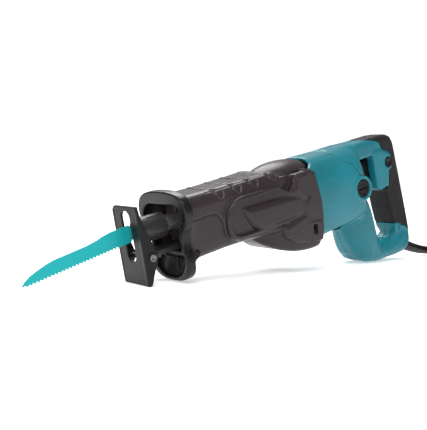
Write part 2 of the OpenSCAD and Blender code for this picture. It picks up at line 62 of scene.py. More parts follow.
# Sizes that several pieces share, in mm
BRUSH_AT = (328, -22)
LOCK_AT = (410, -4.3)
SHOE_PIVOT = (10.6, -27.3)
SHOE_LOCK_AT = (62, -37)
CRANK_AT = 234
MOTOR_AXIS = -22
PLUG_AT = (456, 9)
GUARD_BACK = 58.5
HANDLE_OUTLINE = [
    (300, 31.5), (345, 31.8), (406, 33), (418, 32), (425, 28.5), (429, 20), (430.5, 10),
    (436.5, -42), (440.5, -75), (443.5, -107), (443, -122), (438, -131), (429, -135.8),
    (410, -136.5), (376, -134.5), (361, -132), (348, -129), (338, -123.5), (329.5, -113),
    (323, -98), (317.5, -80), (312, -66), (300, -62),
]
HAND_WINDOW = [
    (352, 9), (381, 9), (382.5, -34), (385, -38), (400, -39), (404, -46), (407, -70),
    (413, -97), (413, -106), (404, -111), (388, -111.5), (376, -107), (369, -98), (366, -87),
    (361, -60), (353, -38),
]
# Edge of the soft grip, and the corners behind the handle that close it
GRIP_EDGE = [
    (376, 32.2), (390, 28.8), (399, 24), (402.5, 15.5), (417.5, 7), (418.5, -13),
    (410.5, -17), (408, -38.5), (396, -39.5), (396, -104), (409.5, -103), (410.5, -94),
    (416, -91), (430, -98), (441, -106),
]
GRIP_CORNERS = [(470, -113), (470, 42), (368, 42)]
BLOCK_OUTLINE = [
    (380.5, 12), (382, 15.5), (393, 16.5), (404, 13.5), (416, 6.5), (417.6, 2), (417.6, -11),
    (416, -14), (410.5, -16), (407.6, -34), (404.5, -38), (399, -39.6), (387, -38.7),
    (383.5, -36),
]
GUARD_ROUTE = [
    (280, 0, 21.5), (292, 0, 18.3), (304, 0, 14.9), (316, 0, 11.9), (328, 0, 9.5), (340, 0, 7.8),
    (350, 0, 6.7),
]
LEAD_ROUTE = [
    (350, 0, 6.7), (355, 0, 6.1), (360, 0, 5.5), (366, 0, 4.9), (372, 0, 4.4), (378, 0, 4.1),
]
COIL_AT = (390, -51)
COIL_TURNS = [
    (51, 4), (43, 4), (43, 12), (51, 12), (51, 20), (43, 20), (43, 28), (51, 28),
]
TAIL_ROUTE = [
    (396, -0.5, 28), (410, -1.5, 26.5), (423, -5, 23.5), (435.5, -11.5, 18.5),
    (445, -20.5, 14), (451.5, -30, 10.5), (455, -40, 9), (456, -49.5, 9), (456, -59, 9),
]


# ---- settings ----

def colour(label, about, value):
    return FloatVectorProperty(
        name=label, description=about, default=value, size=3, min=0, max=1, subtype="COLOR"
    )


class SawFinish(bpy.types.PropertyGroup):
    boot: colour("Boot", "Insulating boot", (0.030, 0.0215, 0.0245))
    shell: colour("Housing", "Motor housing and handle", (0.006, 0.175, 0.22))
    rubber: colour("Grip", "Soft grip", (0.008, 0.0075, 0.008))
    black: colour("Black plastic", "Trigger, buttons and caps", (0.006, 0.0055, 0.006))
    shoe: colour("Shoe", "Painted steel shoe", (0.007, 0.0065, 0.007))
    blade: colour("Blade", "Blade paint", (0.0, 0.22, 0.245))
    cord: colour("Cord", "Cord and plug", (0.006, 0.0055, 0.006))


class SawSizes(bpy.types.PropertyGroup):
    cord_length: FloatProperty(
        name="Cord length", description="Length of the mains lead", default=2.5, min=0.5,
        unit="LENGTH",
    )
    cord_diameter: FloatProperty(
        name="Cord diameter", description="Diameter of the mains lead", default=0.008,
        min=0.005, unit="LENGTH",
    )
    large_cell: FloatProperty(
        name="Shell cell", description="Mesh cell of the large mouldings", default=0.00105,
        min=0.0006, unit="LENGTH",
    )
    small_cell: FloatProperty(
        name="Detail cell", description="Mesh cell of the small pieces", default=0.0005,
        min=0.0002, unit="LENGTH",
    )


# ---- shader expressions ----

class Value:
    """One output socket; arithmetic on it adds Math nodes."""

    def __init__(self, tree, socket):
        self.tree = tree
        self.socket = socket

    def math(self, operation, *terms):
        return self.tree.node("ShaderNodeMath", {"operation": operation}, dict(enumerate(terms)))

    def __add__(self, other):
        return self.math("ADD", self, other)

    def __sub__(self, other):
        return self.math("SUBTRACT", self, other)

    def __rsub__(self, other):
        return self.math("SUBTRACT", other, self)

    def __mul__(self, other):
        return self.math("MULTIPLY", self, other)

    __radd__ = __add__
    __rmul__ = __mul__

    def over(self, low, high):
        """0 below low, 1 above high."""
        settings = {"interpolation_type": "SMOOTHSTEP"}
        values = {"Value": self, "From Min": low, "From Max": high}
        return self.tree.node("ShaderNodeMapRange", settings, values)


class Finish:
    """A material and the nodes in it."""

    def __init__(self, name):
        self.material = bpy.data.materials.new(name)
        self.material.use_nodes = True
        self.nodes = self.material.node_tree.nodes
        self.links = self.material.node_tree.links
        self.nodes.clear()
        self.place = self.node("ShaderNodeTexCoord", out="Object")

    def node(self, kind, settings=None, inputs=None, out=0):
        made = self.nodes.new(kind)
        for key, value in (settings or {}).items():
            setattr(made, key, value)
        for key, value in (inputs or {}).items():
            if isinstance(value, Value):
                self.links.new(value.socket, made.inputs[key])
            else:
                made.inputs[key].default_value = value
        return Value(self, made.outputs[out])

    def noise(self, scale, detail=3.0, roughness=0.55, stretch=(1, 1, 1)):
        at = self.node(
            "ShaderNodeVectorMath", {"operation": "MULTIPLY"}, {0: self.place, 1: stretch}
        )
        values = {"Vector": at, "Scale": scale, "Detail": detail, "Roughness": roughness}
        return self.node("ShaderNodeTexNoise", None, values)

    def pebbles(self, scale):
        return self.node("ShaderNodeTexVoronoi", None, {"Vector": self.place, "Scale": scale})

    def blend(self, factor, a, b):
        colours = {0: factor, 6: (*a, 1) if isinstance(a, tuple) else a}
        colours[7] = (*b, 1) if isinstance(b, tuple) else b
        return self.node("ShaderNodeMix", {"data_type": "RGBA"}, colours, out=2)

    def edges(self, low, high):
        return self.node("ShaderNodeNewGeometry", out="Pointiness").over(low, high)

    def finish(self, base, roughness, height, depth, fixed=None, **linked):
        """Ends in a Principled shader; height is in depth metres."""
        bump = self.node(
            "ShaderNodeBump", None, {"Strength": 0.6, "Distance": depth, "Height": height}
        )
        values = {"Base Color": base, "Roughness": roughness, "Normal": bump}
        values.update(fixed or {})
        values.update({k.replace("_", " "): v for k, v in linked.items()})
        shader = self.node("ShaderNodeBsdfPrincipled", None, values)
        self.node_output(shader)
        return self.material

    def node_output(self, shader):
        end = self.nodes.new("ShaderNodeOutputMaterial")
        self.links.new(shader.socket, end.inputs["Surface"])


def lighter(rgb, by):
    return tuple(min(1.0, c * by + 0.01 * max(0.0, by - 1)) for c in rgb)


def moulded_plastic(name, rgb, rough, grain=1.0, wear=0.5, gloss=0.0, specular=0.4, front=None):
    """Injection-moulded plastic: fine spark grain, faint flow marks, edges rubbed shiny."""
    f = Finish(name)
    rgb = tuple(rgb)
    flow = f.noise(14, 4)
    spark = f.noise(2600, 2, 0.7)
    scuff = f.noise(60, 5, 0.65, stretch=(0.35, 1, 1)).over(0.56, 0.72)
    rubbed = f.edges(0.505, 0.56) * f.noise(90, 4).over(0.35, 0.7)
    base = f.blend(flow.over(0.3, 0.7), lighter(rgb, 0.86), lighter(rgb, 1.12))
    base = f.blend(scuff * 0.12, base, lighter(rgb, 2.0))
    base = f.blend(rubbed * wear, base, lighter(rgb, 2.4))
    if front:
        # The guard end is moulded in plain black
        start = STAND + STROKE * GUARD_BACK / 1000
        along_saw = f.node("ShaderNodeVectorMath", {"operation": "DOT_PRODUCT"}, {
            0: f.place, 1: tuple(STROKE)}, out="Value")
        base = f.blend(along_saw.over(start.dot(STROKE) - 0.001, start.dot(STROKE) + 0.001),
                       front, base)
    roughness = rough + 0.10 * (spark - 0.5) + 0.07 * scuff - 0.12 * rubbed
    height = spark * grain + flow * 0.3
    return f.finish(base, roughness, height, 0.00012, {
        "Coat Weight": gloss, "Coat Roughness": 0.18, "Specular IOR Level": specular,
    })


def grip_rubber(name, rgb):
    """Soft rubber with a pebble texture that catches small highlights."""
    f = Finish(name)
    rgb = tuple(rgb)
    pads = f.pebbles(420)
    fine = f.noise(1800, 2)
    dust = f.noise(35, 5).over(0.5, 0.75)
    rubbed = f.edges(0.51, 0.57)
    base = f.blend(dust * 0.35, rgb, lighter(rgb, 2.2))
    base = f.blend(rubbed * 0.4, base, lighter(rgb, 2.6))
    roughness = 0.56 + 0.22 * pads - 0.12 * rubbed
    return f.finish(base, roughness, (1 - pads) * 0.8 + fine * 0.25, 0.00045, {
        "Specular IOR Level": 0.35,
    })


def soft_plastic(name, rgb):
    """Cord jacket and strain relief: smooth, a little greasy, with lint."""
    f = Finish(name)
    rgb = tuple(rgb)
    fine = f.noise(1500, 3)
    lint = f.noise(110, 6, 0.7).over(0.58, 0.75)
    base = f.blend(lint * 0.3, rgb, lighter(rgb, 3.0))
    return f.finish(base, 0.42 + 0.2 * lint + 0.08 * (fine - 0.5), fine, 0.00008)


def painted_steel(name, rgb, rough, bare, worn=0.35):
    """Baked paint with orange peel, chipped to metal along edges."""
    f = Finish(name)
    rgb = tuple(rgb)
    peel = f.noise(520, 2)
    patch = f.noise(170, 6, 0.7)
    chips = f.edges(0.53, 0.60) * patch.over(0.5, 0.6) * worn
    streak = f.noise(50, 4, 0.6, stretch=(0.15, 1, 1)).over(0.45, 0.75)
    base = f.blend(streak * 0.22, rgb, lighter(rgb, 0.72))
    base = f.blend(chips, base, bare)
    roughness = rough + 0.10 * streak + 0.05 * (peel - 0.5) - 0.08 * chips
    return f.finish(base, roughness, peel * 0.7 - chips * 1.5, 0.00010, {
        "Specular IOR Level": 0.22,
    }, Metallic=chips)


def metal(name, rgb, rough, brushed=(1, 1, 1), grain=700, dirt=0.3):
    """Machined or cast metal; brushed stretches the tool marks along an axis."""
    f = Finish(name)
    rgb = tuple(rgb)
    marks = f.noise(grain, 4, 0.6, stretch=brushed)
    grime = f.noise(45, 5).over(0.45, 0.7)
    worn = f.edges(0.51, 0.57)
    base = f.blend(grime * dirt, rgb, lighter(rgb, 0.45))
    base = f.blend(worn * 0.5, base, lighter(rgb, 1.7))
    roughness = rough + 0.16 * (marks - 0.5) + 0.16 * grime - 0.08 * worn
    return f.finish(base, roughness, marks, 0.00008, {"Metallic": 1.0})


def laminated(name, rgb):
    """Stacked core sheets, across the motor axis."""
    f = Finish(name)
    settings = {"wave_type": "BANDS", "bands_direction": "X"}
    sheets = f.node("ShaderNodeTexWave", settings, {
        "Vector": f.place, "Scale": 320.0, "Distortion": 0.4, "Detail": 1.0,
    }, out="Fac")
    stain = f.noise(60, 4)
    base = f.blend(sheets, lighter(rgb, 0.5), lighter(rgb, 1.2))
    base = f.blend(stain.over(0.45, 0.7) * 0.4, base, lighter(rgb, 0.6))
    return f.finish(base, 0.42 + 0.2 * stain, sheets, 0.0002, {"Metallic": 1.0})


MADE = {}


def finishes():
    """One material for each slot of the record, and two more for the visible pieces."""
    if MADE:
        return MADE
    c = bpy.context.scene.saw_finish
    MADE.update({
        "boot_plastic": moulded_plastic(
            "boot_plastic", c.boot, 0.36, 1.0, 0.1, 0.12, 0.25, front=tuple(c.black)),
        "shell_teal": moulded_plastic("shell_teal", c.shell, 0.38, 0.6, 0.1, 0.1, 0.35),
        "black_plastic": moulded_plastic("black_plastic", c.black, 0.36, 0.5, 0.2, 0.0, 0.2),
        "grip_rubber": grip_rubber("grip_rubber", c.rubber),
        "seal_rubber": soft_plastic("seal_rubber", (0.02, 0.02, 0.02)),
        "cord_rubber": soft_plastic("cord_rubber", c.cord),
        "shoe_paint": painted_steel("shoe_paint", c.shoe, 0.36, (0.42, 0.42, 0.43), 0.5),
        "blade_paint": painted_steel("blade_paint", c.blade, 0.38, (0.5, 0.55, 0.56), 0.25),
        "cast_aluminium": metal("cast_aluminium", (0.22, 0.22, 0.23), 0.5, grain=420),
        "dark_steel": metal("dark_steel", (0.035, 0.034, 0.037), 0.30, (1, 0.05, 0.05)),
        "bright_steel": metal("bright_steel", (0.55, 0.55, 0.56), 0.26, (0.05, 1, 1)),
        "fastener_steel": metal("fastener_steel", (0.20, 0.20, 0.21), 0.40),
        "spring_steel": metal("spring_steel", (0.40, 0.39, 0.38), 0.30),
        "bronze": metal("bronze", (0.50, 0.31, 0.14), 0.40),
        "copper": metal("copper", (0.72, 0.30, 0.14), 0.34, (1, 0.2, 0.2), 500),
        "plug_brass": metal("plug_brass", (0.62, 0.47, 0.20), 0.28, (1, 0.1, 1)),
        "carbon": metal("carbon", (0.045, 0.045, 0.047), 0.55, grain=900),
        "laminations": laminated("laminations", (0.28, 0.28, 0.29)),
    })
    return MADE


# ---- distance fields: negative inside, in mm ----

def soft_min(a, b, k):
    h = np.clip(0.5 + 0.5 * (b - a) / k, 0, 1)
    return b * (1 - h) + a * h - k * h * (1 - h)


def join(k, first, *rest):
    for d in rest:
        first = soft_min(first, d, k)
    return first


def meet(k, a, b):
    return -soft_min(-a, -b, k)


def cut(k, body, tool):
    return -soft_min(-body, tool, k)


def ease(t):
    t = np.clip(t, 0, 1)
    return t * t * (3 - 2 * t)


def along(at, table):
    """Straight lines through the table's (place, value) pairs."""
    places, values = zip(*table)
    return np.interp(at, places, values)


def rect(p, q, p0, p1, q0, q1, r):
    """Rounded rectangle in the p, q plane."""
    a = np.abs(p - (p0 + p1) / 2) - (p1 - p0) / 2 + r
    b = np.abs(q - (q0 + q1) / 2) - (q1 - q0) / 2 + r
    return np.minimum(np.maximum(a, b), 0) + np.hypot(np.maximum(a, 0), np.maximum(b, 0)) - r


def extrude(flat, across, half, r):
    """A flat field given the thickness 2 * half, its edges rounded by r."""
    a = flat + r
    b = across - half + r
    return np.minimum(np.maximum(a, b), 0) + np.hypot(np.maximum(a, 0), np.maximum(b, 0)) - r


def bevelled(flat, across, half, size):
    """The same with its edges cut at 45 degrees."""
    edge = (flat + across - half + size) * math.sqrt(0.5)
    return meet(1.0, np.maximum(flat, across - half), edge)


def outline(p, q, points):
    """Distance to a closed outline in the p, q plane."""
    far = np.full(np.broadcast_shapes(np.shape(p), np.shape(q)), 1e9)
    inside = np.zeros(far.shape, bool)
    for (a, b), (c, d) in zip(points, points[1:] + points[:1]):
        t = np.clip(((p - a) * (c - a) + (q - b) * (d - b)) / ((c - a) ** 2 + (d - b) ** 2), 0, 1)
        far = np.minimum(far, (p - a - (c - a) * t) ** 2 + (q - b - (d - b) * t) ** 2)
        if b != d:
            inside ^= ((b > q) != (d > q)) & (p < (c - a) * (q - b) / (d - b) + a)
    return np.where(inside, -1, 1) * np.sqrt(far)


def line(p, q, points):
    """Distance to an open line in the p, q plane."""
    far = 1e9
    for (a, b), (c, d) in zip(points, points[1:]):
        t = np.clip(((p - a) * (c - a) + (q - b) * (d - b)) / ((c - a) ** 2 + (d - b) ** 2), 0, 1)
        far = np.minimum(far, (p - a - (c - a) * t) ** 2 + (q - b - (d - b) * t) ** 2)
    return np.sqrt(far)


def groove(distance, width, depth):
    """What a groove of that width adds to a field."""
    return depth * ease(1.25 - distance / (width / 2))


def egg(x, y, z, at, radii):
    a, b, c = ((v - o) / r for v, o, r in zip((x, y, z), at, radii))
    k0 = np.sqrt(a * a + b * b + c * c)
    k1 = np.sqrt(sum((v / r) ** 2 for v, r in zip((a, b, c), radii)))
    return k0 * (k0 - 1) / np.maximum(k1, 1e-6)


def curved(points, step):
    """A smooth curve through the points, sampled about every step mm."""
    pts = [Vector(p) for p in points]
    pts = [2 * pts[0] - pts[1], *pts, 2 * pts[-1] - pts[-2]]
    out = []
    for a, b, c, d in zip(pts, pts[1:], pts[2:], pts[3:]):
        count = max(2, round((c - b).length / step))
        for i in range(count):
            t = i / count
            out.append(0.5 * (2 * b + (c - a) * t + (2 * a - 5 * b + 4 * c - d) * t * t
                              + (3 * b - a - 3 * c + d) * t * t * t))
    out.append(pts[-2])
    return [tuple(p) for p in out]


# ---- fields to pieces ----

def skin(field, corner, cell):
    """Points and quads of a field's zero surface, one point in each cell that it crosses."""
    low = np.minimum.reduce([
        field[i:i - 1 or None, j:j - 1 or None, k:k - 1 or None]
        for i in (0, 1) for j in (0, 1) for k in (0, 1)
    ])
    high = np.maximum.reduce([
        field[i:i - 1 or None, j:j - 1 or None, k:k - 1 or None]
        for i in (0, 1) for j in (0, 1) for k in (0, 1)
    ])
    cells = np.argwhere((low < 0) & (high >= 0))
    index = np.full(low.shape, -1, np.int64)
    index[tuple(cells.T)] = np.arange(len(cells))
    total = np.zeros((len(cells), 3))
    count = np.zeros(len(cells))
    for axis in range(3):
        for i in (0, 1):
            for j in (0, 1):
                start = np.insert([i, j], axis, 0)
                end = np.insert([i, j], axis, 1)
                a = field[tuple((cells + start).T)]
                b = field[tuple((cells + end).T)]
                crossed = (a < 0) != (b < 0)
                t = np.where(crossed, a / np.where(crossed, a - b, 1), 0)
                point = np.repeat(start[None].astype(float), len(cells), 0)
                point[:, axis] = t
                total += point * crossed[:, None]
                count += crossed
    points = (cells + total / count[:, None]) * cell + corner
    quads = []
    for axis in range(3):
        near = np.moveaxis(field, axis, 0)[:-1]
        far = np.moveaxis(field, axis, 0)[1:]
        grid = np.moveaxis(index, axis, 0)
        i, j, k = np.nonzero((near[:, 1:-1, 1:-1] < 0) != (far[:, 1:-1, 1:-1] < 0))
        ring = np.stack([
            grid[i, j, k], grid[i, j + 1, k], grid[i, j + 1, k + 1], grid[i, j, k + 1]
        ], 1)
        outward = (near[i, j + 1, k + 1] < 0) != (axis == 1)
        ring[~outward] = ring[~outward][:, ::-1]
        quads.append(ring)
    return points, np.concatenate(quads)


def place(obj, body, finish, hides=()):
    obj.data.materials.clear()
    obj.data.materials.append(finish)
    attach(obj, body)
    if hides:
        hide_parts(*hides)
    return obj


def new_object(name, data):
    obj = bpy.data.objects.new(name, data)
    bpy.context.scene.collection.objects.link(obj)
    return obj


def mesh_object(name, points, faces, matrix):
    turn = np.array(matrix)
    points = np.asarray(points) @ turn[:3, :3].T + turn[:3, 3]
    mesh = bpy.data.meshes.new(name)
    mesh.from_pydata(points.tolist(), [], np.asarray(faces).tolist())
    mesh.polygons.foreach_set("use_smooth", [True] * len(mesh.polygons))
    mesh.update()
    return new_object(name, mesh)


def solid(name, low, high, cell, shape, matrix=TOOL):
    """A closed mesh of shape(x, y, z), whose box is low to high in mm."""
    x, y, z = (np.arange(a - 2.5 * cell, b + 3 * cell, cell) for a, b in zip(low, high))
    field = shape(x[:, None, None], y[None, :, None], z[None, None, :])
    field = np.ascontiguousarray(np.broadcast_to(field, (len(x), len(y), len(z))))
    points, quads = skin(field, np.array([x[0], y[0], z[0]]), cell)
    return mesh_object(name, points, quads, matrix)


# ---- the boot ----

GUARD_OUTLINE = [
    (0, 36.6), (13, 36.2), (24, 34.8), (34, 32), (41.5, 27), (45.8, 19), (46.5, 10), (44.5, 2),
    (40, -4.5), (34.5, -10), (31.2, -16), (30.6, -22), (32, -29), (34.8, -36), (36, -45),
    (34, -54), (28, -61), (16, -65.3), (0, -66.2),
]


def guard_section(y, z):
    half = curved(GUARD_OUTLINE, 4)
    return outline(np.abs(y), z, half + [(-10, -66.2), (-10, 36.6)])


BOOT_END = [(-75, 241), (-66, 244.5), (-45, 250), (-25, 251.5), (-2, 249), (16, 246.5),
            (21, 250), (25, 257), (40, 261)]


def boot_shape(x, y, z):
    side = np.abs(y)
    # Barrel and the body behind it, wider and deeper toward the rear
    half = along(x, [(57, 34), (112, 34.5), (180, 36.5), (200, 40), (214, 43.5), (255, 44)])
    floor = along(x, [(57, -45), (112, -43), (148, -43.5), (165, -45.5), (184, -50), (205, -60),
                      (220, -64), (255, -66)])
    roof = along(x, [(57, 28), (112, 27.6), (188, 29), (192, 28.6), (199, 21.3), (257, 21.3)])
    low = np.maximum(half - 15, 8)
    a = side - low
    b = np.abs(z - (roof + floor) / 2) - (roof - floor) / 2 + 15
    barrel = np.minimum(np.maximum(a, b), 0)
    barrel = barrel + np.hypot(np.maximum(a, 0), np.maximum(b, 0)) - 15
    rim = guard_section(y, z)
    flare = ease((x - 54) / (14 + 7 * ease((-25 - z) / 30))) ** 0.5
    barrel = (rim + 0.8) * (1 - flare) + barrel * flare
    barrel = np.maximum(barrel, 50 - x)
    guard = extrude(rim, np.abs(x - 52.3), 5.7, 1.8)
    barrel = join(1.5, barrel, guard)
    # Grooves across the padded top, each running into a tab at the side
    turn = np.clip(np.arctan2(side - low, np.maximum(z - roof + 15, 1e-3)), 0, math.pi / 2)
    turn = np.where(side < low, 0, turn)
    around = np.minimum(side, low) + 15 * turn
    above = ease((z - 9) / 3)
    pads = 1e9
    for start, lean in ((96, 5.5), (125, 2.5), (151, 1.5), (180.5, 1)):
        pads = np.minimum(pads, line(x, around, [
            (start, 0), (start + lean, 24), (start + lean, 33), (start + lean + 1.5, 38),
            (start + lean + 5, 40.5), (start + lean + 8.5, 39), (start + lean + 11, 34),
            (start + lean + 11.5, 31),
        ]))
        step = line(x, around, [(start + 2.2, -1), (start + lean + 2.2, 24)])
        barrel = barrel - 0.5 * ease(1.6 - step / 2.5) * above
    barrel = barrel + groove(pads, 1.9, 1.5) * above
    strap = line(x, around, [(92, 27.5), (178, 27.5)])
    barrel = barrel + groove(strap, 2.4, 0.35) * above
    seam = line(x, z, [(58, 0.8), (86.8, 2.2), (96, 1), (100.5, -3), (103.5, -9), (104.6, -18),
                       (107, -31), (108, -45)])
    barrel = barrel + groove(seam, 1.5, 0.8) * ease((side - 24) / 3)
    # Side bulge with its pocket and the long blister in it
    bulge = outline(x, z, curved([
        (131, 13), (118, 8.5), (109.5, -1), (106.8, -14), (107.6, -26), (113, -33.5),
        (128, -36), (160, -36.5), (200, -38)], 4)[:-1] + [(200, -38), (250, -44), (250, 13)])
    bulge = extrude(bulge, side, 41.5, 4.5)
    pocket = outline(x, z, curved([
        (128, 8.5), (119, 5), (113, -3), (111.3, -14), (112.5, -23), (117, -29.5), (126, -31.5),
    ], 3) + [(192, -31), (206, -20), (204, 3), (196, 9.5)])
    bulge = cut(1.5, bulge, extrude(pocket, -side, -37.2, 1.0))
    blister = outline(x, z, [
        (131.5, -2.2), (206, -3), (226, -6), (226, -31), (192, -33), (156, -34.2), (143, -27),
        (134.5, -14)])
    blister = bevelled(blister, side, 43.6, 4.6)
    # Collar
    collar = outline(x, z, [
        (215, 20.5), (238, 21.6), (246, 16), (250, -2.5), (252.5, -24), (251.5, -44), (248, -56),
        (243, -67), (226, -68), (203, -61), (188, -50), (186, -38), (208, -33), (219, -30),
        (222, -13), (217, -7), (205, -1), (212.5, 11)])
    collar = bevelled(collar, side, 45.4, 3.4)
    crease = outline(x, z, [
        (232, 24), (246, 18), (253, -20), (252, -44), (242, -69), (223.5, -64), (222, -44),
        (224.5, -16), (231, -9)])
    collar = join(1.0, collar, bevelled(crease, side, 46.5, 2.2))
    # Belly that covers the crank
    belly = outline(x, z, curved([
        (157, -43), (162, -49), (170, -56.5), (189, -67.5), (208, -73.6), (226, -76),
        (243, -76)], 5) + [(252, -70), (252, -40), (180, -36)])
    width = along(x, [(156, 15), (170, 24), (185, 33), (205, 41), (234, 44), (255, 43)])
    belly = extrude(belly, side, width, 9)
    lip = outline(x, z, [(112, -30), (182, -32), (204, -38), (200, -44), (160, -40), (122, -37.5)])
    lip = extrude(lip, side, 38.5, 2.5)
    body = join(3.5, barrel, belly, lip)
    body = join(1.2, body, bulge)
    body = join(0.9, body, blister, collar)
    # Raised pad round the vent at the collar's foot
    pad = outline(x, z, [(226.5, -40), (246, -42.5), (250, -52), (244, -67), (226, -66)])
    body = join(0.6, body, extrude(pad, side, 47, 1.4))
    # Domed cover over the crank, with a shadow gap round it
    dome = egg(x, y, z, (226, 0, 15.5), (47, 33, 19.2))
    body = body + groove(np.abs(dome), 3.0, 2.2) * ease((z - 13) / 5)
    body = join(0.5, body, dome)
    # Black notch between the strap's end and the collar
    notch = outline(x, z, [(196, 25), (191.5, 14), (193, 9), (205, 2), (211.5, 10), (214.5, 20),
                           (209, 26)])
    body = cut(0.8, body, extrude(notch, -side, -33.5, 1.0))
    # Open rear, hollow front and the room for the works
    body = np.maximum(body, x - along(z, BOOT_END))
    hollow = np.maximum(rim + 4.2, join(6, rect(y, z, -38, 38, -20, 21.8, 17),
                                        rect(y, z, -31.5, 31.5, -62, 0, 27)))
    throat = rect(y, z, -28, 28, -31.5, 21.4, 14)
    deep = ease((x - 48) / 26)
    body = cut(1.6, body, np.maximum(hollow * (1 - deep) + throat * deep, x - 73))
    body = np.maximum(body, -np.maximum(np.hypot(y, z) - 12.8, x - 90))
    body = np.maximum(body, -np.maximum(rect(y, z, -12.6, 12.6, -30.8, -24.4, 0.5), x - 90))
    body = np.maximum(body, 0.4 - case_shape(x, y, z))
    body = np.maximum(body, -np.maximum(rect(y, z, -40.5, 40.5, -62, 19.8, 12), 240 - x))
    body = np.maximum(body, 5.4 - np.hypot(x - SHOE_LOCK_AT[0], z - SHOE_LOCK_AT[1]))
    body = cut(0.5, body, extrude(rect(x, z, 230.5, 237.5, -57, -45.2, 1), -side, -38, 0.5))
    slot = rect(x, z, 52.6, 56.4, -33, -22.5, 1.8)
    return cut(0.6, body, extrude(slot, -side, -29.6, 0.5))


def case_shape(x, y, z):
    """Outside of the gear case."""
    front = extrude(rect(y, z, -29, 29, -38, 20, 9), np.abs(x - 140), 63.8, 1)
    chamber = extrude(np.hypot(x - CRANK_AT, y) - 38.8, np.abs(z + 23), 43, 7)
    return join(2, front, chamber)


def case_bored_shape(x, y, z):
    body = case_shape(x, y, z)
    flange = np.maximum(shell_shape(x, y, z) + 3.8, np.abs(x - 266) - 2)
    body = join(1, body, flange)
    nose = extrude(np.hypot(y, z - MOTOR_AXIS) - 16, np.abs(x - 268), 8, 1)
    body = join(1.5, body, nose)
    bore = np.hypot(y, z)
    body = np.maximum(body, -np.maximum(bore - 12.5, np.abs(x - 128) - 53))
    body = np.maximum(body, -np.maximum(rect(y, z, -20, 20, -17, 17, 3), np.abs(x - 128) - 24))
    body = np.maximum(body, -np.maximum(rect(y, z, -12.3, 12.3, -30.3, -24.7, 0.3), x - 150))
    room = extrude(np.hypot(x - CRANK_AT, y) - 33.5, np.abs(z + 11), 32, 3)
    body = np.maximum(body, -room)
    body = np.maximum(body, -np.maximum(np.hypot(y, z - MOTOR_AXIS) - 12, 262 - x))
    return np.maximum(body, -np.maximum(np.hypot(x - CRANK_AT, y) - 10.5, np.abs(z + 52) - 9))


def cover_shape(x, y, z):
    """Cover plate over the crank, with its four screws."""
    radius = np.hypot(x - CRANK_AT, y)
    plate = extrude(radius - 28, np.abs(z - 21.3), 1.2, 0.4)
    for turn in (45, 135, 225, 315):
        a, b = 24 * math.cos(math.radians(turn)), 24 * math.sin(math.radians(turn))
        head = np.hypot(x - CRANK_AT - a, y - b)
        screw = extrude(head - 3, np.abs(z - 22.6), 0.9, 0.4)
        plate = join(0.2, plate, screw)
    return plate


class BuildBoot(bpy.types.Operator):
    """Insulating boot with the guard, grip pads, side blister, crank cover and belly"""
    bl_idname = "saw.build_boot"
    bl_label = "Boot"

    def execute(self, context):
        cell = context.scene.saw_sizes.large_cell * 1000
        boot = solid("boot", (46, -48, -78), (258, 48, 38), cell, boot_shape)
        place(boot, "housing", finishes()["boot_plastic"], ["insulation_boot"])
        cast = finishes()["cast_aluminium"]
        case = solid("gear_case", (76, -43, -73), (277, 43, 32), 1.3, case_bored_shape)
        place(case, "housing", cast, ["gear_housing"])
        cover = solid("crank_cover", (205, -29, 20), (263, 29, 24), 0.8, cover_shape)
        place(cover, "housing", cast, ["gear_cover", "gear_cover_screws"])
        return {"FINISHED"}


# ---- motor housing, handle and grip ----

HOUSING_SECTION = [
    (0, 32.2), (14, 31.6), (24, 28), (33.5, 21.3), (41, 10), (44.2, -4), (44.4, -30), (42.5, -50),
    (37, -61), (27, -68), (14, -70.8), (0, -71.2),
]
SEAM = [(-75, 262), (-66, 270), (-63, 290), (-60, 312), (-52, 330), (-39, 336), (-6, 328),
        (11, 318.5), (21, 304), (28, 298.5), (33, 296)]


SHOWN_SCREWS = [(362, 20), (330, -95), (400, -118), (434, -112)]
SCREWS_UNDER_GRIP = [(421, 14), (426, -75)]


def shell_shape(x, y, z):
    """Motor housing and handle as one body, cut apart by the callers."""
    side = np.abs(y)
    half_section = curved(HOUSING_SECTION, 4)
    mirrored = half_section + [(-a, b) for a, b in half_section[-2:0:-1]]
    taper = along(x, [(240, 1), (328, 1), (336, 0.93), (345, 0.70), (352, 0.56), (360, 0.42)])
    motor = outline(y / taper, z, mirrored)
    motor = meet(9, motor, x - 353.5 + 0.10 * np.abs(z + 18))
    top_half = along(x, [(300, 13), (336, 19), (345, 24), (352, 23), (362, 21), (376, 20), (395, 19),
                         (470, 19)])
    leg_half = along(x, [(300, 8), (316, 12), (326, 19), (340, 24.5), (352, 27), (363, 26),
                         (378, 21), (395, 19), (470, 19)])
    leg_half = leg_half - 4.5 * ease((-100 - z) / 34) * ease((375 - x) / 20)
    high = ease((z + 52) / 34)
    half = leg_half * (1 - high) + top_half * high
    flat = outline(x, z, HANDLE_OUTLINE)
    handle = extrude(flat, side, half, 8.5)
    handle = np.maximum(handle, 306 - x)
    shell = join(5, motor, handle)
    window = outline(x, z, HAND_WINDOW)
    shell = cut(4.5, shell, window)
    block = bevelled(outline(x, z, BLOCK_OUTLINE), side, 21.6, 2.2)
    shell = join(0.8, shell, block)
    ring = np.hypot(x - BRUSH_AT[0], z - BRUSH_AT[1])
    shell = join(1.2, shell, extrude(ring - 16.5, side, 46, 1.6))
    shell = cut(0.6, shell, extrude(ring - 12, -side, -38, 0.3))
    # Scooped side of the lower arm and the screw bosses on the right
    scoop = line(x, z, [(384, -112), (396, -114), (410, -111), (424, -104)])
    shell = shell + 3.0 * ease(1.15 - scoop / 10) * ease((side - 6) / 12)
    for u, w in SHOWN_SCREWS:
        boss = np.hypot(x - u, z - w)
        shell = shell + groove(np.abs(boss - 5), 1.4, 0.5) * ease((y - 10) / 2)
        shell = cut(0.3, shell, np.maximum(boss - 3.7, 16.5 - y))
    return shell


